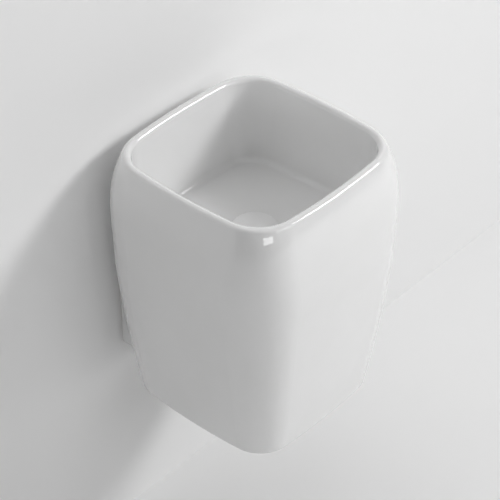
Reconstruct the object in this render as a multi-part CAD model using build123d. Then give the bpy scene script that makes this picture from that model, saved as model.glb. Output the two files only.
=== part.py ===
from build123d import *

import os
from math import atan2, cos, hypot, pi, sin, sqrt

# A wall-hung monobloc washbasin: a barrel-shaped ceramic body, its press-open waste, bottle trap and wall fixings.
#
# Millimetres, +Z up, +Y into the wall. Sub-parts are modelled on the drain axis with z = 0 at the foot of the
# body, and export() moves them all to the row frame: origin on the wall plane, midway between the two studs.


# ---- body: outer shape ----
BELLY_WIDTH = 400.0
BODY_HEIGHT = 500.0
BELLY_SHARE = 0.7  # height of the widest part, as a share of the body's height
FOOT_INSET_SIDE = 44.0
FOOT_INSET_FRONT = 36.0
FOOT_SET_BACK = 9.0  # the foot's centre stands this far behind the drain axis
RIM_INSET = 23.0
RIM_SET_FORWARD = 3.0  # the rim's centre stands this far before the drain axis
FLANK_POWER = 1.45  # 1 would make the side below the belly straight
SHOULDER_POWER = 3.0  # the same for the side above the belly
FOOT_CORNER = 62.0
BELLY_CORNER = 100.0
RIM_CORNER = 78.0
SIDE_BOW = 2.9  # each side bows out in plan on a radius this many belly widths long
LIP_OUTER_RADIUS = 8.2
LIP_INNER_RADIUS = 7.5
FOOT_EDGE = 3.0

# ---- body: bowl, cavity and drain seat ----
RIM_WALL = 13.2
BOWL_DRAFT = 9.0  # how far each side of the bowl comes in from rim to floor
BOWL_CORNER = 65.0
BOWL_FLOOR_CORNER = 53.0
BOWL_DEPTH = 163.0
BOWL_FILLET = 10.0
FLOOR_FALL = 3.0
FLOOR_THICKNESS = 16.0
SKIRT_WALL = 12.0
BOWL_WALL = 12.0
CAVITY_FILLET = 8.0
HOLLOW_BELOW_RIM = 64.0  # the hollow between bowl and skirt ends this far down
DRAIN_MARGIN = 2.0  # radial, round the waste's thread
SEAT_MARGIN = 2.0  # radial, round the waste's flange
SEAT_DEPTH = 4.0

# ---- body: rear apron that meets the wall ----
WALL_GAP = 3.0  # from the belly to the wall plane
APRON_INSET = 73.0  # each side of the apron stands this far inside the belly's side
APRON_FOOT = 52.0  # underside of the apron above the foot
APRON_ABOVE_STUDS = 58.0
APRON_WALL = 12.0
APRON_BACK = 14.0
APRON_EDGE = 5.0
WINDOW_WIDTH = 150.0
WINDOW_HEIGHT = 120.0
WINDOW_CORNER = 20.0

# ---- wall fixings ----
STUD_SPACING = 180.0
STUD_DROP = 41.0  # from the bowl's underside to the stud axes
STUD_WIDTH = 9.0  # the machine thread's pitch diameter
SHANK_WIDTH = 10.0  # over the coarse thread in the wall
STUD_IN_WALL = 62.0
STUD_INSIDE = 34.0
STUD_GROOVE = 1.0  # a thread run-out ring where the stud enters the wall
SLEEVE_WALL = 4.0
SLEEVE_BRIM = 4.0
SLEEVE_BRIM_THICK = 3.0
WASHER_REACH = 7.0
WASHER_THICK = 2.5
NUT_REACH = 3.5
NUT_THICK = 8.0

# ---- waste ----
TUBE_WIDTH = 32.0  # outside of the waste pipe; the waste's thread and the trap are sized to it
TUBE_WALL = 1.5
THREAD_REACH = 4.95  # radial, from the pipe's outside to the waste's thread
WASTE_WALL = 2.95
WASTE_LENGTH = 74.0
FLANGE_REACH = 11.0  # radial, from the waste's thread to the flange's edge
FLANGE_THICK = 2.5
FLANGE_EDGE = 1.0
FUNNEL_REACH = 7.0
FUNNEL_DEPTH = 8.0
GASKET_THICK = 1.5
BRIDGE_DEPTH = 28.0  # from the flange's top to the bridge's top
BRIDGE_THICK = 9.0
BRIDGE_ARM = 4.0
BRIDGE_ARMS = 3
BOSS_WALL = 3.5
RUBBER_THICK = 4.0
RUBBER_REACH = 8.0
SLIP_THICK = 1.5
SLIP_REACH = 7.0
BACKNUT_REACH = 5.0
BACKNUT_THICK = 11.0

# ---- press-open cap ----
CAP_OVERHANG = 8.0  # radial, from the flange's edge to the cap's
CAP_EDGE = 5.0
CAP_CROWN = 3.6
CAP_ROUND = 2.4
CAP_TRAVEL = 9.0
CAP_SEAL_THICK = 2.0
CAP_SEAL_REACH = 5.0
CARRIER_INSET = 1.0
CARRIER_THICK = 2.0
HUB_WALL = 3.0
HUB_LENGTH = 12.0
CARTRIDGE_WIDTH = 14.0
CARTRIDGE_WALL = 1.8
CARTRIDGE_COLLAR = 2.0
CARTRIDGE_COLLAR_THICK = 3.0
CARTRIDGE_LENGTH = 38.0
CARTRIDGE_END = 2.0
SHOULDER_REACH = 1.2
SHOULDER_THICK = 3.0
ROTOR_THICK = 6.0
ROTOR_TEETH = 4
ROTOR_TOOTH = 3.0
PIN_WIDTH = 4.0
PIN_LENGTH = 16.0
SPRING_WIRE = 0.8
SPRING_INSET = 1.0
SPRING_TURNS = 5

# ---- bottle trap ----
TUBE_FLANGE_THICK = 1.5
UNION_REACH = 4.0
UNION_HEIGHT = 20.0
UNION_LIP = 3.0
UNION_SEAL_THICK = 3.0
TRAP_DROP = 38.0  # from the union nut to the head's shoulder
NECK_WALL = 6.0
NECK_HEIGHT = 16.0
HEAD_REACH = 17.0  # radial, from the pipe's outside to the head's
HEAD_HEIGHT = 62.0
HEAD_WALL = 3.0
COLLAR_WALL = 5.0
COLLAR_HEIGHT = 20.0
COLLAR_LIP = 3.0
COLLAR_EDGE = 1.0
PIPE_SEAL_THICK = 3.0
GRIP_RIBS = 18
GRIP_RIB_WIDTH = 3.0
OUTLET_DROP = 34.0  # from the head's shoulder to the outlet's axis
OUTLET_NECK = 29.0
PIPE_INSERTION = 18.0
PIPE_IN_WALL = 40.0
PIPE_GROOVE = 1.0
GROOVE_DEPTH = 0.4
ROSETTE_REACH = 19.0
ROSETTE_DEPTH = 10.0
ROSETTE_WALL = 1.2
CUP_REACH = 3.0
CUP_HEIGHT = 73.5
CUP_WALL = 3.0
CUP_SCREWED = 16.0
CUP_ROUND = 12.0
CUP_SEAL_THICK = 2.5
DIP_CLEARANCE = 24.0  # from the cup's underside to the open end of the inlet tube

# ---- fits ----
THREAD_GAP = 0.05  # radial, in a made-up thread
SLIDE_GAP = 0.08  # radial, where a piece slides or turns
PLAY_GAP = 0.35  # radial, between moving pieces that don't guide each other
LOOSE_GAP = 0.5  # radial, where a piece only passes through
SEAL_GAP = 0.02  # between a seal and a piece that leaves it

# ---- widths that follow from the sizes above ----
RIM_WIDTH = BELLY_WIDTH - 2 * RIM_INSET
SIDE_RADIUS = BELLY_WIDTH * SIDE_BOW
AXIS_TO_WALL = BELLY_WIDTH / 2 + WALL_GAP
APRON_WIDTH = BELLY_WIDTH - 2 * APRON_INSET
APRON_INSIDE = AXIS_TO_WALL - APRON_BACK
STUD_HOLE = STUD_WIDTH + 2 * SLEEVE_WALL
TUBE_BORE = TUBE_WIDTH - 2 * TUBE_WALL
THREAD_WIDTH = TUBE_WIDTH + 2 * THREAD_REACH
WASTE_BORE = THREAD_WIDTH - 2 * WASTE_WALL
FLANGE_WIDTH = THREAD_WIDTH + 2 * FLANGE_REACH
FLANGE_MOUTH = WASTE_BORE + 2 * FUNNEL_REACH
DRAIN_BORE = THREAD_WIDTH + 2 * DRAIN_MARGIN
SEAT_WIDTH = FLANGE_WIDTH + 2 * SEAT_MARGIN
CAP_WIDTH = FLANGE_WIDTH + 2 * CAP_OVERHANG
CARRIER_WIDTH = FLANGE_MOUTH - 2 * CARRIER_INSET
BOSS_WIDTH = CARTRIDGE_WIDTH + 2 * BOSS_WALL
CARTRIDGE_BORE = CARTRIDGE_WIDTH - 2 * CARTRIDGE_WALL
PLUNGER_WIDTH = CARTRIDGE_BORE - 2 * SHOULDER_REACH
NECK_WIDTH = TUBE_WIDTH + 2 * NECK_WALL
COLLAR_WIDTH = NECK_WIDTH + 2 * COLLAR_WALL
HEAD_WIDTH = TUBE_WIDTH + 2 * HEAD_REACH
HEAD_BORE = HEAD_WIDTH - 2 * HEAD_WALL
CUP_WIDTH = HEAD_WIDTH + 2 * CUP_REACH
OUTLET_REACH = HEAD_WIDTH / 2 + OUTLET_NECK

# ---- levels that follow from the sizes above ----
BELLY_HEIGHT = BODY_HEIGHT * BELLY_SHARE
FLOOR = BODY_HEIGHT - BOWL_DEPTH
DRAIN_FLOOR = FLOOR - FLOOR_FALL
SEAT = DRAIN_FLOOR - SEAT_DEPTH
BOWL_UNDERSIDE = FLOOR - FLOOR_THICKNESS
HOLLOW_TOP = BODY_HEIGHT - HOLLOW_BELOW_RIM
STUD_HEIGHT = BOWL_UNDERSIDE - STUD_DROP
APRON_TOP = STUD_HEIGHT + APRON_ABOVE_STUDS
FLANGE_TOP = SEAT + GASKET_THICK + FLANGE_THICK
WASTE_FOOT = FLANGE_TOP - FLANGE_THICK - WASTE_LENGTH
BRIDGE_TOP = FLANGE_TOP - BRIDGE_DEPTH
CAP_UNDERSIDE = FLANGE_TOP + CAP_SEAL_THICK
BACKNUT_TOP = BOWL_UNDERSIDE - RUBBER_THICK - SLIP_THICK
CARTRIDGE_FOOT = BRIDGE_TOP + CARTRIDGE_COLLAR_THICK - CARTRIDGE_LENGTH
PLUNGER_TOP = CAP_UNDERSIDE - CARRIER_THICK
CARTRIDGE_ROOF = BRIDGE_TOP + CARTRIDGE_COLLAR_THICK - CARTRIDGE_END
SHOULDER_TOP = CARTRIDGE_ROOF - CAP_TRAVEL - SEAL_GAP
ROTOR_TOP = SHOULDER_TOP - SHOULDER_THICK - SLIDE_GAP
ROTOR_FOOT = ROTOR_TOP - ROTOR_THICK
TUBE_TOP = WASTE_FOOT - UNION_SEAL_THICK
UNION_FOOT = TUBE_TOP - TUBE_FLANGE_THICK - UNION_LIP
HEAD_TOP = UNION_FOOT - TRAP_DROP
HEAD_FOOT = HEAD_TOP - HEAD_HEIGHT
OUTLET_HEIGHT = HEAD_TOP - OUTLET_DROP
CUP_SHOULDER = HEAD_FOOT - CUP_SEAL_THICK
CUP_FOOT = CUP_SHOULDER - CUP_HEIGHT
DIP_FOOT = CUP_FOOT + DIP_CLEARANCE


def outline(width, depth, corner, z, set_back=0.0):
    """A closed outline at height z: four sides bowed on SIDE_RADIUS, joined by tangent corner arcs."""
    inset_x = SIDE_RADIUS - width / 2
    inset_y = SIDE_RADIUS - depth / 2
    apart = hypot(inset_x, inset_y)
    reach = sqrt((SIDE_RADIUS - corner) ** 2 - apart**2 / 4) / apart
    corner_x = inset_y * reach - inset_x / 2
    corner_y = inset_x * reach - inset_y / 2
    turn_x = atan2(corner_y, corner_x + inset_x)
    turn_y = pi / 2 - atan2(corner_x, corner_y + inset_y)

    def on_side_x(angle):
        return Vector(SIDE_RADIUS * cos(angle) - inset_x, SIDE_RADIUS * sin(angle), z)

    def on_side_y(angle):
        return Vector(SIDE_RADIUS * cos(angle), SIDE_RADIUS * sin(angle) - inset_y, z)

    def on_corner(angle, side=1):
        return Vector(side * (corner_x + corner * cos(angle)), corner_y + corner * sin(angle), z)

    half_turn = [
        Edge.make_three_point_arc(on_side_x(-turn_x), on_side_x(0), on_side_x(turn_x)),
        Edge.make_three_point_arc(on_side_x(turn_x), on_corner(pi / 4), on_side_y(turn_y)),
        Edge.make_three_point_arc(on_side_y(turn_y), on_side_y(pi / 2), on_side_y(pi - turn_y)),
        Edge.make_three_point_arc(on_side_y(pi - turn_y), on_corner(pi / 4, -1), on_corner(turn_x, -1)),
    ]
    loop = Wire([edge.rotate(Axis.Z, turn) for turn in (0, 180) for edge in half_turn])
    return loop.translate((0, set_back, 0))


def skin(stations):
    """A smooth solid through outlines given as (width, depth, corner, z, set_back)."""
    return Solid.make_loft([outline(*station) for station in stations])


def outer_station(z, inwards=0.0):
    """The body's outside at height z, or an outline that far inside it."""
    if z <= BELLY_HEIGHT:
        below = (BELLY_HEIGHT - z) / BELLY_HEIGHT
        width = BELLY_WIDTH - 2 * FOOT_INSET_SIDE * below**FLANK_POWER
        depth = BELLY_WIDTH - 2 * FOOT_INSET_FRONT * below**FLANK_POWER
        corner = BELLY_CORNER - (BELLY_CORNER - FOOT_CORNER) * below
        set_back = FOOT_SET_BACK * below
    else:
        above = (z - BELLY_HEIGHT) / (BODY_HEIGHT - BELLY_HEIGHT)
        width = BELLY_WIDTH - 2 * RIM_INSET * above**SHOULDER_POWER
        depth = width
        corner = BELLY_CORNER - (BELLY_CORNER - RIM_CORNER) * above
        set_back = -RIM_SET_FORWARD * above
    return width - 2 * inwards, depth - 2 * inwards, corner - inwards, z, set_back


def bowl_station(share, outwards=0.0):
    """The bowl's side at a share of its height, or an outline that far outside it."""
    width = RIM_WIDTH - 2 * RIM_WALL - 2 * BOWL_DRAFT * (1 - share) + 2 * outwards
    corner = BOWL_FLOOR_CORNER + (BOWL_CORNER - BOWL_FLOOR_CORNER) * share + outwards
    return width, width, corner, FLOOR + BOWL_DEPTH * share, -RIM_SET_FORWARD * share


def ring(outer, inner, z_low, z_high):
    """A plain ring or, with no inner width, a disc on the drain axis."""
    at_foot = (Align.CENTER, Align.CENTER, Align.MIN)
    height = z_high - z_low
    body = Cylinder(outer / 2, height, align=at_foot)
    if inner:
        body -= Cylinder(inner / 2, height, align=at_foot)
    return Pos(0, 0, z_low) * body


def hexagon(flats, inner, z_low, z_high):
    """A hexagonal nut blank on the drain axis, its corners turned off at both ends."""
    height = z_high - z_low
    corners = flats * 2 / sqrt(3)
    blank = extrude(RegularPolygon(flats / 2, 6, major_radius=False), height)
    turned_off = ring(corners, 0, 0, height)
    turned_off = chamfer(turned_off.edges().filter_by(GeomType.CIRCLE), (corners - flats) / 3)
    return Pos(0, 0, z_low) * ((blank & turned_off) - ring(inner, 0, 0, height))


def turned(profile):
    """Revolves (radius, z) points about the drain axis."""
    face = make_face(Polyline([(radius, 0, z) for radius, z in profile], close=True))
    return revolve(face, Axis.Z, 360)


def towards_wall(shape, height):
    """Turns a shape made along +Z so that it runs along +Y at that height."""
    return Pos(0, 0, height) * Rot(-90, 0, 0) * shape


def at_studs(shape):
    """Two copies of a shape made along +Z, on the stud axes, running into the wall."""
    placed = towards_wall(shape, STUD_HEIGHT)
    return [Pos(side * STUD_SPACING / 2, 0, 0) * placed for side in (-1, 1)]


# ---- ceramic ----


def outside():
    """The body's outer skin as a solid block, its foot edge softened."""
    low = [BELLY_HEIGHT * step / 6 for step in range(7)]
    high = [BELLY_HEIGHT + (BODY_HEIGHT - BELLY_HEIGHT) * step / 4 for step in range(1, 5)]
    block = skin([outer_station(z) for z in low + high])
    return fillet(block.edges().group_by(Axis.Z)[0], FOOT_EDGE)


def bowl():
    """The space of the bowl, with the fall of its floor to the drain and the drain's seat."""
    space = skin([bowl_station(share) for share in (0, 0.5, 1)])
    space = fillet(space.edges().group_by(Axis.Z)[0], BOWL_FILLET)
    fall_radius = RIM_WIDTH / 2 - RIM_WALL - BOWL_DRAFT - BOWL_FILLET
    seat = SEAT_WIDTH / 2
    bore = DRAIN_BORE / 2
    profile = [(0, BOWL_UNDERSIDE - 1), (bore, BOWL_UNDERSIDE - 1), (bore, SEAT), (seat, SEAT)]
    profile += [(seat, DRAIN_FLOOR), (fall_radius, FLOOR), (0, FLOOR)]
    return [space, turned(profile)]


def cavity():
    """The hollow under and around the bowl, open at the foot."""
    levels = [HOLLOW_TOP * step / 6 for step in range(7)]
    hollow = skin([outer_station(z, SKIRT_WALL) for z in levels])
    low_share = -FLOOR_THICKNESS / BOWL_DEPTH
    bowl_block = skin([bowl_station(share, BOWL_WALL) for share in (low_share, 0.5, 1)])
    bowl_block = fillet(bowl_block.edges().group_by(Axis.Z)[0], CAVITY_FILLET)
    return hollow - bowl_block


def apron():
    """The block behind the body that meets the wall, with its edges eased."""
    height = APRON_TOP - APRON_FOOT
    block = Box(APRON_WIDTH, AXIS_TO_WALL, height, align=(Align.CENTER, Align.MIN, Align.MIN))
    block = fillet(block.edges().filter_by(Axis.Y), APRON_EDGE)
    block = chamfer(block.faces().sort_by(Axis.Y)[-1].edges(), APRON_EDGE / 2)
    return Pos(0, 0, APRON_FOOT) * block


def apron_hollow():
    """The space inside the apron, open to the cavity."""
    low = APRON_FOOT + APRON_WALL
    high = BOWL_UNDERSIDE - CAVITY_FILLET
    width = APRON_WIDTH - 2 * APRON_WALL
    space = Box(width, APRON_INSIDE, high - low, align=(Align.CENTER, Align.MIN, Align.MIN))
    return Pos(0, 0, low) * fillet(space.edges().filter_by(Axis.Y), APRON_EDGE)


def pipe_window():
    """The cutter for the window in the apron's back, round the trap's outlet."""
    window = extrude(RectangleRounded(WINDOW_WIDTH, WINDOW_HEIGHT, WINDOW_CORNER), AXIS_TO_WALL + 1)
    return towards_wall(window, OUTLET_HEIGHT)


def basin_body():
    """The one fired piece: skirt, rolled rim, bowl, rear apron, drain seat and fixing holes."""
    body = outside() + apron()
    body -= bowl()
    body -= [cavity(), apron_hollow(), pipe_window()]
    body -= at_studs(ring(STUD_HOLE, 0, APRON_INSIDE - 1, AXIS_TO_WALL + 1))
    rim = body.faces().sort_by(Axis.Z)[-1]
    inner_edges = rim.inner_wires()[0].edges()
    body = fillet(inner_edges, LIP_INNER_RADIUS)
    rim = body.faces().sort_by(Axis.Z)[-1]
    return fillet(rim.outer_wire().edges(), LIP_OUTER_RADIUS)


def drain_cap():
    """The domed cap, flat underneath."""
    edge = CAP_UNDERSIDE + CAP_EDGE
    crown = edge + CAP_CROWN
    reach = CAP_WIDTH / 2
    rise = (reach**2 + CAP_CROWN**2) / (2 * CAP_CROWN)
    middle = sqrt(rise**2 - (reach / 2) ** 2) - (rise - CAP_CROWN) + edge
    dome = ThreePointArc((reach, 0, edge), (reach / 2, 0, middle), (0, 0, crown))
    rest = Polyline((0, 0, crown), (0, 0, CAP_UNDERSIDE), (reach, 0, CAP_UNDERSIDE), (reach, 0, edge))
    cap = revolve(make_face([dome, rest]), Axis.Z, 360)
    rims = cap.edges().filter_by(lambda rim: rim.is_closed).sort_by(Axis.Z)
    cap = fillet(rims[-1], CAP_ROUND)
    rims = cap.edges().filter_by(lambda rim: rim.is_closed).sort_by(Axis.Z)
    return chamfer(rims[0], CAP_ROUND / 3)


# ---- waste ----


def waste_body():
    """Flanged waste with a funnel mouth and the armed bridge that carries the cartridge."""
    bore = WASTE_BORE / 2
    thread = THREAD_WIDTH / 2
    rim = FLANGE_WIDTH / 2
    under = FLANGE_TOP - FLANGE_THICK
    profile = [(bore, WASTE_FOOT), (thread, WASTE_FOOT), (thread, under), (rim, under)]
    profile += [(rim, FLANGE_TOP - FLANGE_EDGE), (rim - FLANGE_EDGE, FLANGE_TOP)]
    profile += [(FLANGE_MOUTH / 2, FLANGE_TOP), (bore, FLANGE_TOP - FUNNEL_DEPTH)]
    body = turned(profile)
    length = (WASTE_BORE - BOSS_WIDTH) / 2 + 2
    arm = Box(length, BRIDGE_ARM, BRIDGE_THICK, align=(Align.MIN, Align.CENTER, Align.MAX))
    arm = Pos(BOSS_WIDTH / 2 - 1, 0, BRIDGE_TOP) * arm
    body += [Rot(0, 0, 360 * turn / BRIDGE_ARMS) * arm for turn in range(BRIDGE_ARMS)]
    body += ring(BOSS_WIDTH, 0, BRIDGE_TOP - BRIDGE_THICK, BRIDGE_TOP)
    return body - ring(CARTRIDGE_WIDTH + 2 * THREAD_GAP, 0, BRIDGE_TOP - BRIDGE_THICK, BRIDGE_TOP)


def flange_gasket():
    """Flat gasket between the flange and the drain seat."""
    return ring(FLANGE_WIDTH - 2, THREAD_WIDTH + 2 * LOOSE_GAP, SEAT, SEAT + GASKET_THICK)


def underside_gasket():
    """Thick rubber washer under the bowl, tapered up into the drain hole's edge."""
    low = BOWL_UNDERSIDE - RUBBER_THICK
    inner = THREAD_WIDTH / 2 + LOOSE_GAP
    outer = DRAIN_BORE / 2 + RUBBER_REACH
    return turned([(inner, low), (outer - 3, low), (outer, BOWL_UNDERSIDE), (inner, BOWL_UNDERSIDE)])


def slip_washer():
    """Low-friction washer under the rubber one."""
    return ring(DRAIN_BORE + 2 * SLIP_REACH, THREAD_WIDTH + 2 * LOOSE_GAP, BACKNUT_TOP, BACKNUT_TOP + SLIP_THICK)


def waste_backnut():
    """Hexagonal nut that clamps the waste in the bowl."""
    bore = THREAD_WIDTH + 2 * THREAD_GAP
    return hexagon(THREAD_WIDTH + 2 * BACKNUT_REACH, bore, BACKNUT_TOP - BACKNUT_THICK, BACKNUT_TOP)


def click_cartridge():
    """Closed housing of the latch, screwed into the bridge."""
    body = CARTRIDGE_WIDTH / 2
    collar = body + CARTRIDGE_COLLAR
    bore = CARTRIDGE_BORE / 2
    guide = PLUNGER_WIDTH / 2 + SLIDE_GAP
    top = BRIDGE_TOP + CARTRIDGE_COLLAR_THICK
    profile = [(0, CARTRIDGE_FOOT), (body, CARTRIDGE_FOOT), (body, BRIDGE_TOP), (collar, BRIDGE_TOP)]
    profile += [(collar, top), (guide, top), (guide, CARTRIDGE_ROOF), (bore, CARTRIDGE_ROOF)]
    profile += [(bore, CARTRIDGE_FOOT + CARTRIDGE_END), (0, CARTRIDGE_FOOT + CARTRIDGE_END)]
    return turned(profile)


def click_plunger():
    """Stem with the shoulder that stops under the cartridge's roof and the pin the rotor turns on."""
    stem = PLUNGER_WIDTH / 2
    shoulder = CARTRIDGE_BORE / 2 - SLIDE_GAP
    under = SHOULDER_TOP - SHOULDER_THICK
    pin = PIN_WIDTH / 2
    profile = [(0, under - PIN_LENGTH), (pin, under - PIN_LENGTH), (pin, under), (shoulder, under)]
    profile += [(shoulder, SHOULDER_TOP), (stem, SHOULDER_TOP), (stem, PLUNGER_TOP), (0, PLUNGER_TOP)]
    return turned(profile)


def click_rotor():
    """The latch's turning cam: a hub with teeth round it."""
    tip = CARTRIDGE_BORE / 2 - PLAY_GAP
    hub = tip - 1
    tooth = Box(tip, ROTOR_TOOTH, ROTOR_THICK, align=(Align.MIN, Align.CENTER, Align.MIN))
    teeth = [Rot(0, 0, 360 * turn / ROTOR_TEETH) * Pos(0, 0, ROTOR_FOOT) * tooth for turn in range(ROTOR_TEETH)]
    body = ring(2 * hub, 0, ROTOR_FOOT, ROTOR_TOP - 1) + teeth
    body &= ring(2 * tip, 0, ROTOR_FOOT, ROTOR_TOP)
    return body - ring(PIN_WIDTH + 2 * SLIDE_GAP, 0, ROTOR_FOOT, ROTOR_TOP)


def click_spring():
    """Coil between the cartridge's floor and the rotor."""
    width = CARTRIDGE_BORE - 2 * SPRING_INSET
    low = CARTRIDGE_FOOT + CARTRIDGE_END + SPRING_WIRE / 2 + SEAL_GAP
    height = ROTOR_FOOT - SPRING_WIRE / 2 - SEAL_GAP - low
    path = Helix(height / SPRING_TURNS, height, (width - SPRING_WIRE) / 2)
    wire = sweep(Plane(path @ 0, z_dir=path % 0) * Circle(SPRING_WIRE / 2), path, is_frenet=True)
    return Pos(0, 0, low) * wire


def cap_carrier():
    """Plate bonded under the cap, with a hub that screws on to the plunger."""
    body = ring(CARRIER_WIDTH, 0, PLUNGER_TOP, CAP_UNDERSIDE)
    body += ring(PLUNGER_WIDTH + 2 * HUB_WALL, 0, PLUNGER_TOP - HUB_LENGTH, PLUNGER_TOP)
    return body - ring(PLUNGER_WIDTH + 2 * THREAD_GAP, 0, PLUNGER_TOP - HUB_LENGTH, PLUNGER_TOP)


def cap_seal():
    """Ring under the cap that closes on the flange."""
    inner = CARRIER_WIDTH + 2 * LOOSE_GAP
    return ring(inner + 2 * CAP_SEAL_REACH, inner, FLANGE_TOP + SEAL_GAP, CAP_UNDERSIDE)


# ---- bottle trap ----


def inlet_union_nut():
    """Hexagonal nut that holds the inlet tube's flange up to the waste."""
    flats = THREAD_WIDTH + 2 * UNION_REACH
    thread = THREAD_WIDTH + 2 * THREAD_GAP
    nut = hexagon(flats, TUBE_WIDTH + 2 * LOOSE_GAP, UNION_FOOT, UNION_FOOT + UNION_HEIGHT)
    return nut - ring(thread, 0, UNION_FOOT + UNION_LIP, UNION_FOOT + UNION_HEIGHT)


def inlet_union_seal():
    """Flat seal between the waste and the inlet tube."""
    return ring(THREAD_WIDTH - 2 * LOOSE_GAP, WASTE_BORE, TUBE_TOP, WASTE_FOOT)


def inlet_tube():
    """Flanged tube that dips into the cup."""
    outer = TUBE_WIDTH / 2
    inner = TUBE_BORE / 2
    under = TUBE_TOP - TUBE_FLANGE_THICK
    flange = THREAD_WIDTH / 2 - LOOSE_GAP
    profile = [(inner, DIP_FOOT), (outer, DIP_FOOT), (outer, under), (flange, under)]
    return turned(profile + [(flange, TUBE_TOP), (inner, TUBE_TOP)])


def trap_head():
    """Bottle-trap head: a bell with a neck for the inlet tube and one for the outlet pipe."""
    tube_hole = TUBE_WIDTH + 2 * LOOSE_GAP
    bell = ring(HEAD_WIDTH, 0, HEAD_FOOT, HEAD_TOP)
    bell = fillet(bell.edges().filter_by(GeomType.CIRCLE).group_by(Axis.Z)[-1], HEAD_WALL)
    bell += ring(NECK_WIDTH, 0, HEAD_TOP - HEAD_WALL, HEAD_TOP + NECK_HEIGHT)
    bell += towards_wall(ring(NECK_WIDTH, 0, 0, OUTLET_REACH), OUTLET_HEIGHT)
    bell -= ring(HEAD_BORE, 0, HEAD_FOOT, HEAD_TOP - HEAD_WALL)
    bell -= ring(tube_hole, 0, HEAD_TOP - HEAD_WALL, HEAD_TOP + NECK_HEIGHT)
    bell -= towards_wall(ring(TUBE_BORE, 0, 0, OUTLET_REACH), OUTLET_HEIGHT)
    return bell - towards_wall(ring(tube_hole, 0, OUTLET_REACH - PIPE_INSERTION, OUTLET_REACH), OUTLET_HEIGHT)


def grip(width, z_low, z_high):
    """Ribs to be fused round a cylinder of that width."""
    rib = Cylinder(GRIP_RIB_WIDTH / 2, z_high - z_low, align=(Align.CENTER, Align.CENTER, Align.MIN))
    rib = Pos(0, 0, z_low) * rib
    return [location * rib for location in PolarLocations(width / 2 - GRIP_RIB_WIDTH / 6, GRIP_RIBS)]


def collar():
    """Ribbed compression nut, its thread's open end at z = 0."""
    nut = ring(COLLAR_WIDTH, 0, 0, COLLAR_HEIGHT)
    nut = chamfer(nut.edges().filter_by(GeomType.CIRCLE).group_by(Axis.Z)[-1], COLLAR_EDGE)
    nut += grip(COLLAR_WIDTH, COLLAR_EDGE, COLLAR_HEIGHT - 2 * COLLAR_EDGE)
    nut -= ring(TUBE_WIDTH + 2 * LOOSE_GAP, 0, 0, COLLAR_HEIGHT)
    return nut - ring(NECK_WIDTH + 2 * THREAD_GAP, 0, 0, COLLAR_HEIGHT - COLLAR_LIP)


def pipe_seal():
    """Seal pressed by a collar round the pipe, its foot at z = 0."""
    return ring(NECK_WIDTH - 2 * LOOSE_GAP, TUBE_WIDTH + 2 * SEAL_GAP, 0, PIPE_SEAL_THICK)


def neck_seal():
    """Seal on the head's neck, round the inlet tube."""
    return Pos(0, 0, HEAD_TOP + NECK_HEIGHT) * pipe_seal()


def neck_nut():
    """Collar on the head's neck."""
    return Pos(0, 0, HEAD_TOP + NECK_HEIGHT + PIPE_SEAL_THICK + COLLAR_LIP - COLLAR_HEIGHT) * collar()


def outlet_seal():
    """Seal on the outlet neck, round the outlet pipe."""
    return towards_wall(Pos(0, 0, OUTLET_REACH) * pipe_seal(), OUTLET_HEIGHT)


def outlet_nut():
    """Collar on the outlet neck."""
    start = OUTLET_REACH + PIPE_SEAL_THICK + COLLAR_LIP - COLLAR_HEIGHT
    return towards_wall(Pos(0, 0, start) * collar(), OUTLET_HEIGHT)


def outlet_pipe():
    """Pipe from the trap into the wall, with a shallow depth mark where it enters."""
    outer = TUBE_WIDTH / 2
    inner = TUBE_BORE / 2
    mark = outer - GROOVE_DEPTH
    profile = [(inner, OUTLET_REACH - PIPE_INSERTION), (outer, OUTLET_REACH - PIPE_INSERTION)]
    profile += [(outer, AXIS_TO_WALL - PIPE_GROOVE), (mark, AXIS_TO_WALL - PIPE_GROOVE)]
    profile += [(mark, AXIS_TO_WALL), (outer, AXIS_TO_WALL), (outer, AXIS_TO_WALL + PIPE_IN_WALL)]
    return towards_wall(turned(profile + [(inner, AXIS_TO_WALL + PIPE_IN_WALL)]), OUTLET_HEIGHT)


def wall_rosette():
    """Thin dished plate round the pipe against the wall."""
    rim = TUBE_WIDTH / 2 + ROSETTE_REACH
    hole = TUBE_WIDTH / 2 + LOOSE_GAP
    front = AXIS_TO_WALL - ROSETTE_DEPTH
    shoulder = hole + ROSETTE_DEPTH / 2
    profile = [(rim, AXIS_TO_WALL), (shoulder, front), (hole, front), (hole, front + ROSETTE_WALL)]
    profile += [(shoulder - ROSETTE_WALL / 2, front + ROSETTE_WALL), (rim - 2 * ROSETTE_WALL, AXIS_TO_WALL)]
    return towards_wall(turned(profile), OUTLET_HEIGHT)


def trap_cup():
    """Removable cup: a rounded pot with grip ribs and a spigot that screws up into the head."""
    outer = CUP_WIDTH / 2
    inner = outer - CUP_WALL
    spigot = HEAD_BORE / 2 - THREAD_GAP
    throat = spigot - CUP_WALL
    top = HEAD_FOOT + CUP_SCREWED
    pot = ring(2 * outer, 0, CUP_FOOT, CUP_SHOULDER)
    pot = fillet(pot.edges().filter_by(GeomType.CIRCLE).group_by(Axis.Z)[0], CUP_ROUND)
    pot += grip(CUP_WIDTH, CUP_FOOT + 1.5 * CUP_ROUND, CUP_SHOULDER - CUP_WALL)
    pot += ring(2 * spigot, 0, CUP_SHOULDER, top)
    space = ring(2 * inner, 0, CUP_FOOT + CUP_WALL, CUP_SHOULDER - CUP_WALL)
    space = fillet(space.edges().filter_by(GeomType.CIRCLE).group_by(Axis.Z)[0], CUP_ROUND - CUP_WALL)
    return pot - space - ring(2 * throat, 0, CUP_SHOULDER - CUP_WALL, top)


def cup_seal():
    """Flat seal on the cup's shoulder."""
    return ring(HEAD_WIDTH, HEAD_BORE, CUP_SHOULDER, HEAD_FOOT - SEAL_GAP)


# ---- wall fixings ----


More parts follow.
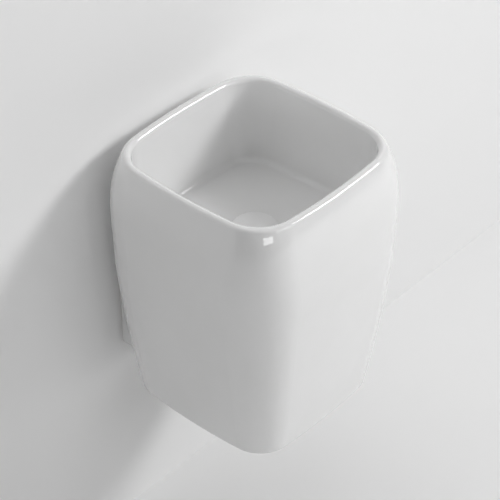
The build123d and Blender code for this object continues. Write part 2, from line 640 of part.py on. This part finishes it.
def fixing_studs():
    """Two studs that stand out of the wall through the apron's back."""
    outer = STUD_WIDTH / 2
    shank = SHANK_WIDTH / 2
    mark = outer - GROOVE_DEPTH
    low = APRON_INSIDE - STUD_INSIDE
    high = AXIS_TO_WALL + STUD_IN_WALL
    profile = [(0, low), (outer - STUD_GROOVE, low), (outer, low + STUD_GROOVE)]
    profile += [(outer, AXIS_TO_WALL - STUD_GROOVE), (mark, AXIS_TO_WALL - STUD_GROOVE)]
    profile += [(mark, AXIS_TO_WALL), (shank, AXIS_TO_WALL), (shank, high - shank)]
    return at_studs(turned(profile + [(shank / 3, high), (0, high)]))


def stud_sleeves():
    """Two flanged sleeves that centre the studs in the ceramic."""
    low = APRON_INSIDE - SLEEVE_BRIM_THICK
    bore = STUD_WIDTH + 2 * THREAD_GAP
    sleeve = ring(STUD_HOLE + 2 * SLEEVE_BRIM, bore, low, APRON_INSIDE)
    return at_studs(sleeve + ring(STUD_HOLE - 2 * THREAD_GAP, bore, low, AXIS_TO_WALL - 2 * STUD_GROOVE))


def fixing_washers():
    """Two plain washers."""
    high = APRON_INSIDE - SLEEVE_BRIM_THICK
    return at_studs(ring(STUD_WIDTH + 2 * WASHER_REACH, STUD_WIDTH + 2 * LOOSE_GAP, high - WASHER_THICK, high))


def fixing_nuts():
    """Two hexagonal nuts."""
    high = APRON_INSIDE - SLEEVE_BRIM_THICK - WASHER_THICK
    return at_studs(hexagon(STUD_WIDTH + 2 * NUT_REACH, STUD_WIDTH + 2 * THREAD_GAP, high - NUT_THICK, high))


SUBPARTS = [
    basin_body, drain_cap, waste_body, flange_gasket, underside_gasket, slip_washer, waste_backnut,
    click_cartridge, click_plunger, click_rotor, click_spring, cap_carrier, cap_seal, inlet_union_nut,
    inlet_union_seal, inlet_tube, neck_nut, neck_seal, trap_head, trap_cup, cup_seal, outlet_nut,
    outlet_seal, outlet_pipe, wall_rosette, fixing_studs, stud_sleeves, fixing_washers, fixing_nuts,
]


def export(build):
    """Moves one sub-part to the row frame and writes it."""
    shape = build()
    solids = shape if isinstance(shape, list) else [shape]
    to_row = Pos(0, -AXIS_TO_WALL, -STUD_HEIGHT)
    placed = [to_row * solid for solid in solids]
    export_step(placed[0] if len(placed) == 1 else Compound(placed), f"parts/{build.__name__}.step")


if __name__ == "__main__":
    os.makedirs("parts", exist_ok=True)
    for subpart in SUBPARTS:
        export(subpart)
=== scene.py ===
"""A wall-hung washbasin dressed for a studio view: glazed ceramic, waste, bottle trap and wall fixings."""

import logging
import math
from dataclasses import dataclass, replace
from enum import Enum
from typing import Optional

import bmesh
import bpy
from mathutils import Matrix, Vector


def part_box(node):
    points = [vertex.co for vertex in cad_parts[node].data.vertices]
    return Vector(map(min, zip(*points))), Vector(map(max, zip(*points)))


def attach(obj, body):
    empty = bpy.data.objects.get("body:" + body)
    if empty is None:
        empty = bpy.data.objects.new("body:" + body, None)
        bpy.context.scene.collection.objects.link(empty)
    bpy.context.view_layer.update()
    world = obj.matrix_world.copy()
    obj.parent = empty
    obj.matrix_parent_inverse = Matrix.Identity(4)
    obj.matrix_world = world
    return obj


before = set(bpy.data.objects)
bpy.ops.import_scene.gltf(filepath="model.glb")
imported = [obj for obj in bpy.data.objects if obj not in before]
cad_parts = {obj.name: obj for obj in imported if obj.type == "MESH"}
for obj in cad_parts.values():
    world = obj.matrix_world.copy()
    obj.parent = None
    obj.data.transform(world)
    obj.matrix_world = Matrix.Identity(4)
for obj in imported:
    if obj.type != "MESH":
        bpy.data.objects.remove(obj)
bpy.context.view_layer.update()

LOG = logging.getLogger("washbasin")
WAVE_TEXTURE_RATE = 20.0  # the wave texture turns through this many radians a metre at a scale of one


class Axis(Enum):
    """An axis of the frame: X to the right, Y into the wall and Z up."""

    X = "X"
    Y = "Y"
    Z = "Z"


@dataclass(frozen=True)
class Thread:
    """A screw thread drawn on a finish, between two levels of its axis, in metres."""

    axis: Axis
    pitch: float
    depth: float
    low: float
    high: float


class Sketch:
    """Builds one material's nodes in a few words."""

    def __init__(self, name: str) -> None:
        """Starts a material with an empty Principled shader.

        Args:
            name: The material's name.
        """
        self.material = bpy.data.materials.new(name)
        self.material.use_nodes = True
        self.tree = self.material.node_tree
        self.tree.nodes.clear()
        self.shader = self.tree.nodes.new("ShaderNodeBsdfPrincipled")
        output = self.tree.nodes.new("ShaderNodeOutputMaterial")
        self.link(self.shader.outputs["BSDF"], output.inputs["Surface"])
        coordinates = self.tree.nodes.new("ShaderNodeTexCoord")
        self.place = coordinates.outputs["Object"]

    def link(self, source: bpy.types.NodeSocket, target: bpy.types.NodeSocket) -> None:
        """Joins two sockets.

        Args:
            source: The output.
            target: The input.
        """
        self.tree.links.new(source, target)

    def fixed(self, **values: float) -> None:
        """Sets plain values on the shader, with underscores for spaces in the socket names.

        Args:
            **values: Socket name and value.
        """
        for name, value in values.items():
            self.shader.inputs[name.replace("_", " ")].default_value = value

    def noise(self, scale: float, detail: float = 3.0) -> bpy.types.NodeSocket:
        """Adds a noise pattern on the piece's own metres.

        Args:
            scale: Features per metre.
            detail: Octaves.

        Returns:
            The pattern's factor.
        """
        pattern = self.tree.nodes.new("ShaderNodeTexNoise")
        pattern.inputs["Scale"].default_value = scale
        pattern.inputs["Detail"].default_value = detail
        self.link(self.place, pattern.inputs["Vector"])
        return pattern.outputs["Fac"]

    def span(self, value: bpy.types.NodeSocket, low: float, high: float,
             to_low: float, to_high: float) -> bpy.types.NodeSocket:
        """Maps one range on to another, held at its ends.

        Args:
            value: The value to map.
            low: Start of its range.
            high: End of its range.
            to_low: Result at the start.
            to_high: Result at the end.

        Returns:
            The mapped value.
        """
        node = self.tree.nodes.new("ShaderNodeMapRange")
        for name, number in (("From Min", low), ("From Max", high), ("To Min", to_low), ("To Max", to_high)):
            node.inputs[name].default_value = number
        self.link(value, node.inputs["Value"])
        return node.outputs["Result"]

    def mix(self, share: bpy.types.NodeSocket, first: tuple, second: tuple) -> bpy.types.NodeSocket:
        """Mixes two colours.

        Args:
            share: Zero for the first colour and one for the second.
            first: A colour, or an output that gives one.
            second: A colour, or an output that gives one.

        Returns:
            The mixed colour.
        """
        node = self.tree.nodes.new("ShaderNodeMix")
        node.data_type = "RGBA"
        self.link(share, node.inputs["Factor"])
        for socket, colour in ((node.inputs[6], first), (node.inputs[7], second)):
            if isinstance(colour, bpy.types.NodeSocket):
                self.link(colour, socket)
            else:
                socket.default_value = (*colour, 1.0)
        return node.outputs[2]

    def larger(self, first: bpy.types.NodeSocket, second: bpy.types.NodeSocket) -> bpy.types.NodeSocket:
        """Gives the larger of two values.

        Args:
            first: A value.
            second: Another value.

        Returns:
            The larger one.
        """
        node = self.tree.nodes.new("ShaderNodeMath")
        node.operation = "MAXIMUM"
        self.link(first, node.inputs[0])
        self.link(second, node.inputs[1])
        return node.outputs[0]

    def edge(self, axis: Axis, level: float, reach: float) -> bpy.types.NodeSocket:
        """Marks the band of a piece that lies against a level of one axis.

        Args:
            axis: The axis that the level is measured on.
            level: The level that the band starts from, in metres.
            reach: How far the band reaches, below zero for towards the axis's start.

        Returns:
            One in the band, fading to zero just past it.
        """
        parts = self.tree.nodes.new("ShaderNodeSeparateXYZ")
        self.link(self.place, parts.inputs["Vector"])
        start, end = level + reach, level + 1.5 * reach
        low, high = (start, end) if reach > 0 else (end, start)
        return self.span(parts.outputs[axis.value], low, high, *((1.0, 0.0) if reach > 0 else (0.0, 1.0)))

    def cut(self, thread: Thread, under: bpy.types.NodeSocket) -> bpy.types.NodeSocket:
        """Draws the ridges of a screw thread.

        Args:
            thread: The thread.
            under: The normal to add it to.

        Returns:
            The bumped normal.
        """
        wave = self.tree.nodes.new("ShaderNodeTexWave")
        wave.bands_direction = thread.axis.value
        wave.wave_profile = "TRI"
        wave.inputs["Scale"].default_value = math.tau / (WAVE_TEXTURE_RATE * thread.pitch)
        self.link(self.place, wave.inputs["Vector"])
        parts = self.tree.nodes.new("ShaderNodeSeparateXYZ")
        self.link(self.place, parts.inputs["Vector"])
        level = parts.outputs[thread.axis.value]
        starts = self.span(level, thread.low, thread.low + thread.pitch, 0.0, 1.0)
        ends = self.span(level, thread.high - thread.pitch, thread.high, 1.0, 0.0)
        bound = wave.outputs["Fac"]
        for limit in (starts, ends):
            product = self.tree.nodes.new("ShaderNodeMath")
            product.operation = "MULTIPLY"
            self.link(bound, product.inputs[0])
            self.link(limit, product.inputs[1])
            bound = product.outputs[0]
        return self.relief(bound, thread.depth, under)

    def relief(self, height: bpy.types.NodeSocket, depth: float,
               under: Optional[bpy.types.NodeSocket] = None) -> bpy.types.NodeSocket:
        """Turns a height pattern into a bumped normal.

        Args:
            height: The pattern.
            depth: Its depth in metres.
            under: A normal to add this one to.

        Returns:
            The bumped normal.
        """
        node = self.tree.nodes.new("ShaderNodeBump")
        node.inputs["Strength"].default_value = 1.0
        node.inputs["Distance"].default_value = depth
        self.link(height, node.inputs["Height"])
        if under is not None:
            self.link(under, node.inputs["Normal"])
        return node.outputs["Normal"]


@dataclass(frozen=True)
class Glaze:
    """Fired white glaze with a slow waver and faint specks, bare on the foot ring and the apron's back."""

    name: str = "white_glaze"
    white: tuple = (0.87, 0.87, 0.87)
    thin: tuple = (0.85, 0.85, 0.848)
    speck: tuple = (0.55, 0.53, 0.48)
    biscuit: tuple = (0.74, 0.71, 0.66)
    biscuit_shade: float = 0.9
    bare_foot: float = 0.0012
    bare_back: float = 0.0008
    roughness: float = 0.03
    dry_roughness: float = 0.7
    cloud_scale: float = 9.0
    speck_scale: float = 420.0
    speck_strength: float = 0.35
    grain_scale: float = 700.0
    smear_scale: float = 22.0
    waver_depth: float = 0.0004
    waver_scale: float = 7.0
    peel_depth: float = 0.000012
    peel_scale: float = 320.0

    def build(self) -> bpy.types.Material:
        """Makes the material."""
        sketch = Sketch(self.name)
        sketch.fixed(IOR=1.58, Coat_Weight=0.5, Coat_Roughness=0.02, Coat_IOR=1.5)
        cloud = sketch.noise(self.cloud_scale, 4.0)
        tint = sketch.mix(sketch.span(cloud, 0.35, 0.7, 0.0, 1.0), self.white, self.thin)
        speck = sketch.span(sketch.noise(self.speck_scale, 1.0), 0.80, 0.86, 0.0, self.speck_strength)
        glazed = sketch.mix(speck, tint, self.speck)
        low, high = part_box("basin_body")
        grain = sketch.noise(self.grain_scale, 3.0)
        foot = sketch.edge(Axis.Z, low.z, self.bare_foot)
        bare = sketch.larger(foot, sketch.edge(Axis.Y, high.y, -self.bare_back))
        shaded = tuple(self.biscuit_shade * part for part in self.biscuit)
        dry = sketch.mix(sketch.span(grain, 0.3, 0.7, 0.0, 1.0), self.biscuit, shaded)
        sketch.link(sketch.mix(bare, glazed, dry), sketch.shader.inputs["Base Color"])
        smear = sketch.noise(self.smear_scale, 5.0)
        gloss = sketch.span(smear, 0.3, 0.75, self.roughness * 0.8, self.roughness * 1.5)
        rough = sketch.larger(gloss, sketch.span(bare, 0.0, 1.0, 0.0, self.dry_roughness))
        sketch.link(rough, sketch.shader.inputs["Roughness"])
        waver = sketch.relief(sketch.noise(self.waver_scale, 1.0), self.waver_depth)
        peel = sketch.relief(sketch.noise(self.peel_scale, 2.0), self.peel_depth, waver)
        sketch.link(peel, sketch.shader.inputs["Normal"])
        return sketch.material


@dataclass(frozen=True)
class Metal:
    """Plated or plain metal with a fine grain and handling marks, and threads where it has any."""

    name: str
    colour: tuple
    worn: tuple
    roughness: float
    blotch_scale: float = 60.0
    grain_scale: float = 900.0
    grain_depth: float = 0.000012
    threads: tuple = ()

    def build(self) -> bpy.types.Material:
        """Makes the material."""
        sketch = Sketch(self.name)
        sketch.fixed(Metallic=1.0)
        blotch = sketch.span(sketch.noise(self.blotch_scale, 5.0), 0.38, 0.7, 0.0, 1.0)
        sketch.link(sketch.mix(blotch, self.colour, self.worn), sketch.shader.inputs["Base Color"])
        grain = sketch.noise(self.grain_scale, 3.0)
        rough = sketch.span(grain, 0.25, 0.75, self.roughness * 0.75, self.roughness * 1.4)
        sketch.link(rough, sketch.shader.inputs["Roughness"])
        normal = sketch.relief(grain, self.grain_depth)
        for thread in self.threads:
            normal = sketch.cut(thread, normal)
        sketch.link(normal, sketch.shader.inputs["Normal"])
        return sketch.material


@dataclass(frozen=True)
class Moulding:
    """Moulded plastic or rubber with a fine sparked texture and slight flow marks."""

    name: str
    colour: tuple
    shade: tuple
    roughness: float
    flow_scale: float = 28.0
    texture_scale: float = 1400.0
    texture_depth: float = 0.00003

    def build(self) -> bpy.types.Material:
        """Makes the material."""
        sketch = Sketch(self.name)
        sketch.fixed(IOR=1.49)
        flow = sketch.span(sketch.noise(self.flow_scale, 4.0), 0.35, 0.7, 0.0, 1.0)
        sketch.link(sketch.mix(flow, self.colour, self.shade), sketch.shader.inputs["Base Color"])
        texture = sketch.noise(self.texture_scale, 2.0)
        rough = sketch.span(texture, 0.3, 0.7, self.roughness * 0.85, self.roughness * 1.2)
        sketch.link(rough, sketch.shader.inputs["Roughness"])
        sketch.link(sketch.relief(texture, self.texture_depth), sketch.shader.inputs["Normal"])
        return sketch.material


def dress(node: str, material: bpy.types.Material) -> None:
    """Puts a finish on a CAD node.

    Args:
        node: The node's name.
        material: Its finish.
    """
    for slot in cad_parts[node].material_slots:
        slot.material = material
    LOG.info("%s wears %s", node, material.name)


@dataclass
class Ceramic:
    """The fired body and the cap of its drain."""

    body_glaze: Glaze = Glaze()
    cap_glaze: Glaze = Glaze("cap_glaze", (0.94, 0.94, 0.94), (0.92, 0.92, 0.918))

    def build(self) -> None:
        """Dresses both ceramic pieces."""
        dress("basin_body", self.body_glaze.build())
        dress("drain_cap", self.cap_glaze.build())


@dataclass
class Hardware:
    """Waste, trap and fixings, each node with its own finish."""

    chrome: Metal = Metal("chrome_plate", (0.82, 0.83, 0.84), (0.74, 0.75, 0.76), 0.09)
    brass: Metal = Metal("turned_brass", (0.72, 0.55, 0.27), (0.6, 0.44, 0.2), 0.28)
    steel: Metal = Metal("spring_steel", (0.55, 0.56, 0.58), (0.42, 0.43, 0.45), 0.25)
    zinc: Metal = Metal("zinc_plate", (0.66, 0.67, 0.68), (0.52, 0.53, 0.56), 0.34)
    rubber: Moulding = Moulding("seal_rubber", (0.03, 0.03, 0.032), (0.05, 0.05, 0.052), 0.62)
    nylon: Moulding = Moulding("nylon", (0.74, 0.73, 0.68), (0.68, 0.66, 0.6), 0.42)
    white: Moulding = Moulding("trap_white", (0.8, 0.8, 0.79), (0.74, 0.74, 0.73), 0.3)
    grey: Moulding = Moulding("trap_grey", (0.42, 0.43, 0.44), (0.36, 0.37, 0.38), 0.34)

    pipe_pitch: float = 0.00231
    bolt_pitch: float = 0.0015
    anchor_pitch: float = 0.0045
    pipe_thread_share: float = 0.9
    anchor_thread_share: float = 0.7
    flange_reach: float = 0.012
    stud_tip: float = 0.0012
    ridge_end: float = 0.003
    ridge_gap: float = 0.00005
    ridge_rise: float = 0.00045
    ridge_sink: float = 0.0002
    ridge_share: float = 0.42
    turn_steps: int = 20

    def threaded_waste(self) -> Metal:
        """The waste's chrome, threaded from its foot to under its flange."""
        low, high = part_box("waste_body")
        depth = self.pipe_thread_share * self.pipe_pitch
        thread = Thread(Axis.Z, self.pipe_pitch, depth, low.z, high.z - self.flange_reach)
        return replace(self.chrome, name="threaded_chrome", threads=(thread,))

    def threaded_studs(self) -> Metal:
        """The studs' zinc, with the coarse thread of the part inside the wall."""
        wall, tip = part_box("basin_body")[1].y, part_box("fixing_studs")[1].y
        coarse = Thread(Axis.Y, self.anchor_pitch, self.anchor_thread_share * self.anchor_pitch, wall, tip)
        return replace(self.zinc, name="threaded_zinc", threads=(coarse,))

    def ridge(self, work: bmesh.types.BMesh, axis_x: float, core: float, start: float, end: float) -> None:
        """Winds one stud's thread ridge, closed at both ends.

        Args:
            work: The mesh to add it to.
            axis_x: The stud's axis, in metres from the middle.
            core: The radius that the ridge stands on.
            start: Where it starts along the stud.
            end: Where it ends.
        """
        half = self.ridge_share * self.bolt_pitch
        inner, outer = core - self.ridge_sink, core + self.ridge_rise
        corners = [work.verts.new((axis_x + radius, start + half + shift, 0.0))
                   for radius, shift in ((inner, -half), (outer, 0.0), (inner, half))]
        first = work.faces.new(corners)
        turns = (end - start - 2 * half) / self.bolt_pitch
        steps = round(turns * self.turn_steps)
        advance = (0, self.bolt_pitch / self.turn_steps, 0)
        bmesh.ops.spin(work, geom=[first, *first.edges, *first.verts], axis=(0, 1, 0), cent=(axis_x, 0, 0),
                       dvec=advance, angle=math.tau * steps / self.turn_steps, steps=steps,
                       use_duplicate=False)

    def stud_threads(self) -> None:
        """Adds the fine thread of both studs, from the nut's side up to the wall."""
        low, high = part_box("fixing_studs")
        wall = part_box("basin_body")[1].y
        shank = (high.z - low.z) / 2
        core = shank - self.ridge_rise - self.ridge_gap
        work = bmesh.new()
        for side in (-1, 1):
            self.ridge(work, side * (high.x - shank), core, low.y + self.stud_tip, wall - self.ridge_end)
        bmesh.ops.recalc_face_normals(work, faces=work.faces)
        mesh = bpy.data.meshes.new("stud_threads")
        work.to_mesh(mesh)
        work.free()
        mesh.materials.append(replace(self.zinc, name="ridge_zinc").build())
        threads = bpy.data.objects.new("stud_threads", mesh)
        bpy.context.scene.collection.objects.link(threads)
        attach(threads, "basin")
        LOG.info("stud_threads ride on the basin")

    def build(self) -> None:
        """Dresses every node that isn't ceramic."""
        chosen = {
            self.threaded_waste(): ("waste_body",),
            self.threaded_studs(): ("fixing_studs",),
            self.chrome: ("cap_carrier",),
            self.brass: ("waste_backnut", "click_cartridge"),
            self.steel: ("click_plunger", "click_spring"),
            self.zinc: ("fixing_washers", "fixing_nuts"),
            self.rubber: ("flange_gasket", "underside_gasket", "cap_seal", "inlet_union_seal", "neck_seal",
                          "cup_seal", "outlet_seal"),
            self.nylon: ("slip_washer", "click_rotor", "stud_sleeves"),
            self.white: ("inlet_tube", "trap_head", "trap_cup", "outlet_pipe", "wall_rosette"),
            self.grey: ("inlet_union_nut", "neck_nut", "outlet_nut"),
        }
        for finish, nodes in chosen.items():
            material = finish.build()
            for node in nodes:
                dress(node, material)
        self.stud_threads()


@dataclass(frozen=True)
class Lamp:
    """A rectangular soft light: its place from the basin's middle, width and height, and power in watts."""

    name: str
    place: tuple
    size: tuple
    power: float

    def hang(self, middle: Vector) -> None:
        """Hangs the light, facing the basin's middle.

        Args:
            middle: The middle of the basin.
        """
        data = bpy.data.lights.new(self.name, "AREA")
        data.shape = "RECTANGLE"
        data.size, data.size_y = self.size
        data.energy = self.power
        lamp = bpy.data.objects.new(self.name, data)
        away = Vector(self.place)
        lamp.location = middle + away
        lamp.rotation_euler = (-away).to_track_quat("-Z", "Y").to_euler()
        bpy.context.scene.collection.objects.link(lamp)


@dataclass
class Studio:
    """Wall, floor, lights, room light and camera."""

    floor_drop: float = 0.347
    reach: float = 4.0
    wall_gap: float = 0.001
    pale: tuple = (0.88, 0.88, 0.88)
    pale_shade: float = 0.985
    cloud_scale: float = 1.5
    lamps: tuple = (
        Lamp("key", (2.6, -2.75, 2.35), (1.3, 1.0), 86.0),
        Lamp("broad", (0.3, -4.3, 2.1), (2.6, 2.6), 34.0),
        Lamp("top", (-0.5, -0.8, 2.7), (1.6, 1.6), 5.0),
        Lamp("window", (-1.55, -2.6, 0.55), (1.0, 0.4), 5.0),
        Lamp("rear", (0.7, 2.6, 0.15), (1.6, 1.6), 9.0),
    )
    lens: float = 148.0
    distance: float = 3.4565
    azimuth: float = -47.1
    elevation: float = 38.85
    roll: float = -0.98
    aim_right: float = -0.0083
    aim_up: float = 0.0315
    air_from: tuple = (0.55, -0.6, 0.55)
    air_front: float = 0.19
    air_behind: float = 0.04
    air_turn: tuple = (-0.4, 0.6)

    def one_sided(self) -> bpy.types.Material:
        """A pale matt finish that shows only on the side its face points to."""
        sketch = Sketch("studio_pale")
        sketch.fixed(Roughness=0.75, Specular_IOR_Level=0.2)
        shaded = tuple(self.pale_shade * part for part in self.pale)
        tint = sketch.mix(sketch.noise(self.cloud_scale, 2.0), self.pale, shaded)
        sketch.link(tint, sketch.shader.inputs["Base Color"])
        nodes = sketch.tree.nodes
        clear = nodes.new("ShaderNodeBsdfTransparent")
        side = nodes.new("ShaderNodeNewGeometry")
        blend = nodes.new("ShaderNodeMixShader")
        sketch.link(side.outputs["Backfacing"], blend.inputs["Fac"])
        sketch.link(sketch.shader.outputs["BSDF"], blend.inputs[1])
        sketch.link(clear.outputs["BSDF"], blend.inputs[2])
        output = next(node for node in nodes if node.type == "OUTPUT_MATERIAL")
        sketch.link(blend.outputs["Shader"], output.inputs["Surface"])
        return sketch.material

    def sheet(self, name: str, centre: Vector, turn: Matrix,
              material: bpy.types.Material) -> bpy.types.Object:
        """Makes a large flat backdrop.

        Args:
            name: The object's name.
            centre: Its centre.
            turn: The turn from facing up.
            material: Its finish.

        Returns:
            The backdrop.
        """
        mesh = bpy.data.meshes.new(name)
        work = bmesh.new()
        bmesh.ops.create_grid(work, x_segments=1, y_segments=1, size=self.reach)
        bmesh.ops.transform(work, matrix=Matrix.Translation(centre) @ turn, verts=work.verts)
        work.to_mesh(mesh)
        work.free()
        mesh.materials.append(material)
        sheet = bpy.data.objects.new(name, mesh)
        bpy.context.scene.collection.objects.link(sheet)
        LOG.info("%s is up", name)
        return sheet

    def build(self) -> None:
        """Sets up the whole studio round the basin."""
        low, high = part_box("basin_body")
        material = self.one_sided()
        floor_level = low.z - self.floor_drop
        wall_face = high.y + self.wall_gap
        floor_centre = Vector((0, wall_face - self.reach, floor_level))
        self.sheet("studio_floor", floor_centre, Matrix.Identity(4), material)
        wall_centre = Vector((0, wall_face, floor_level + self.reach))
        wall = self.sheet("studio_wall", wall_centre, Matrix.Rotation(math.radians(90), 4, "X"), material)
        wall.visible_shadow = False
        middle = Vector((0, (low.y + high.y) / 2, (low.z + high.z) / 2))
        for lamp in self.lamps:
            lamp.hang(middle)
        self.air()
        self.camera(Vector((0, low.y + (high.x - low.x) / 2, (low.z + high.z) / 2)))
        bpy.context.scene.view_settings.view_transform = "Standard"

    def air(self) -> None:
        """Sets the light of the room, brightest before the basin and dim behind the wall."""
        world = bpy.data.worlds.new("studio_air")
        world.use_nodes = True
        nodes, links = world.node_tree.nodes, world.node_tree.links
        way = nodes.new("ShaderNodeTexCoord")
        towards = nodes.new("ShaderNodeVectorMath")
        towards.operation = "DOT_PRODUCT"
        towards.inputs[1].default_value = self.air_from
        strength = nodes.new("ShaderNodeMapRange")
        strength.inputs["From Min"].default_value, strength.inputs["From Max"].default_value = self.air_turn
        strength.inputs["To Min"].default_value = self.air_behind
        strength.inputs["To Max"].default_value = self.air_front
        links.new(way.outputs["Generated"], towards.inputs[0])
        links.new(towards.outputs["Value"], strength.inputs["Value"])
        links.new(strength.outputs["Result"], nodes["Background"].inputs["Strength"])
        nodes["Background"].inputs["Color"].default_value = (1, 1, 1, 1)
        bpy.context.scene.world = world

    def camera(self, centre: Vector) -> None:
        """Sets the camera at its angle round the basin.

        Args:
            centre: The middle of the barrel.
        """
        azimuth, elevation, roll = (math.radians(a) for a in (self.azimuth, self.elevation, self.roll))
        back = Vector((math.sin(azimuth) * math.cos(elevation), -math.cos(azimuth) * math.cos(elevation),
                       math.sin(elevation)))
        right = Vector((math.cos(azimuth), math.sin(azimuth), 0))
        up = back.cross(right)
        place = centre + right * self.aim_right + up * self.aim_up + back * self.distance
        turned_right = math.cos(roll) * right + math.sin(roll) * up
        turned_up = back.cross(turned_right)
        data = bpy.data.cameras.new("studio_camera")
        data.lens = self.lens
        data.sensor_width = 36.0
        camera = bpy.data.objects.new("studio_camera", data)
        facing = Matrix((turned_right, turned_up, back)).transposed().to_4x4()
        camera.matrix_world = Matrix.Translation(place) @ facing
        bpy.context.scene.collection.objects.link(camera)
        bpy.context.scene.camera = camera


def main() -> None:
    """Builds each sub-assembly in turn."""
    logging.basicConfig(level=logging.INFO, format="%(name)s: %(message)s")
    for part in (Ceramic(), Hardware(), Studio()):
        part.build()
        LOG.info("%s is done", type(part).__name__)


if __name__ == "__main__":
    main()
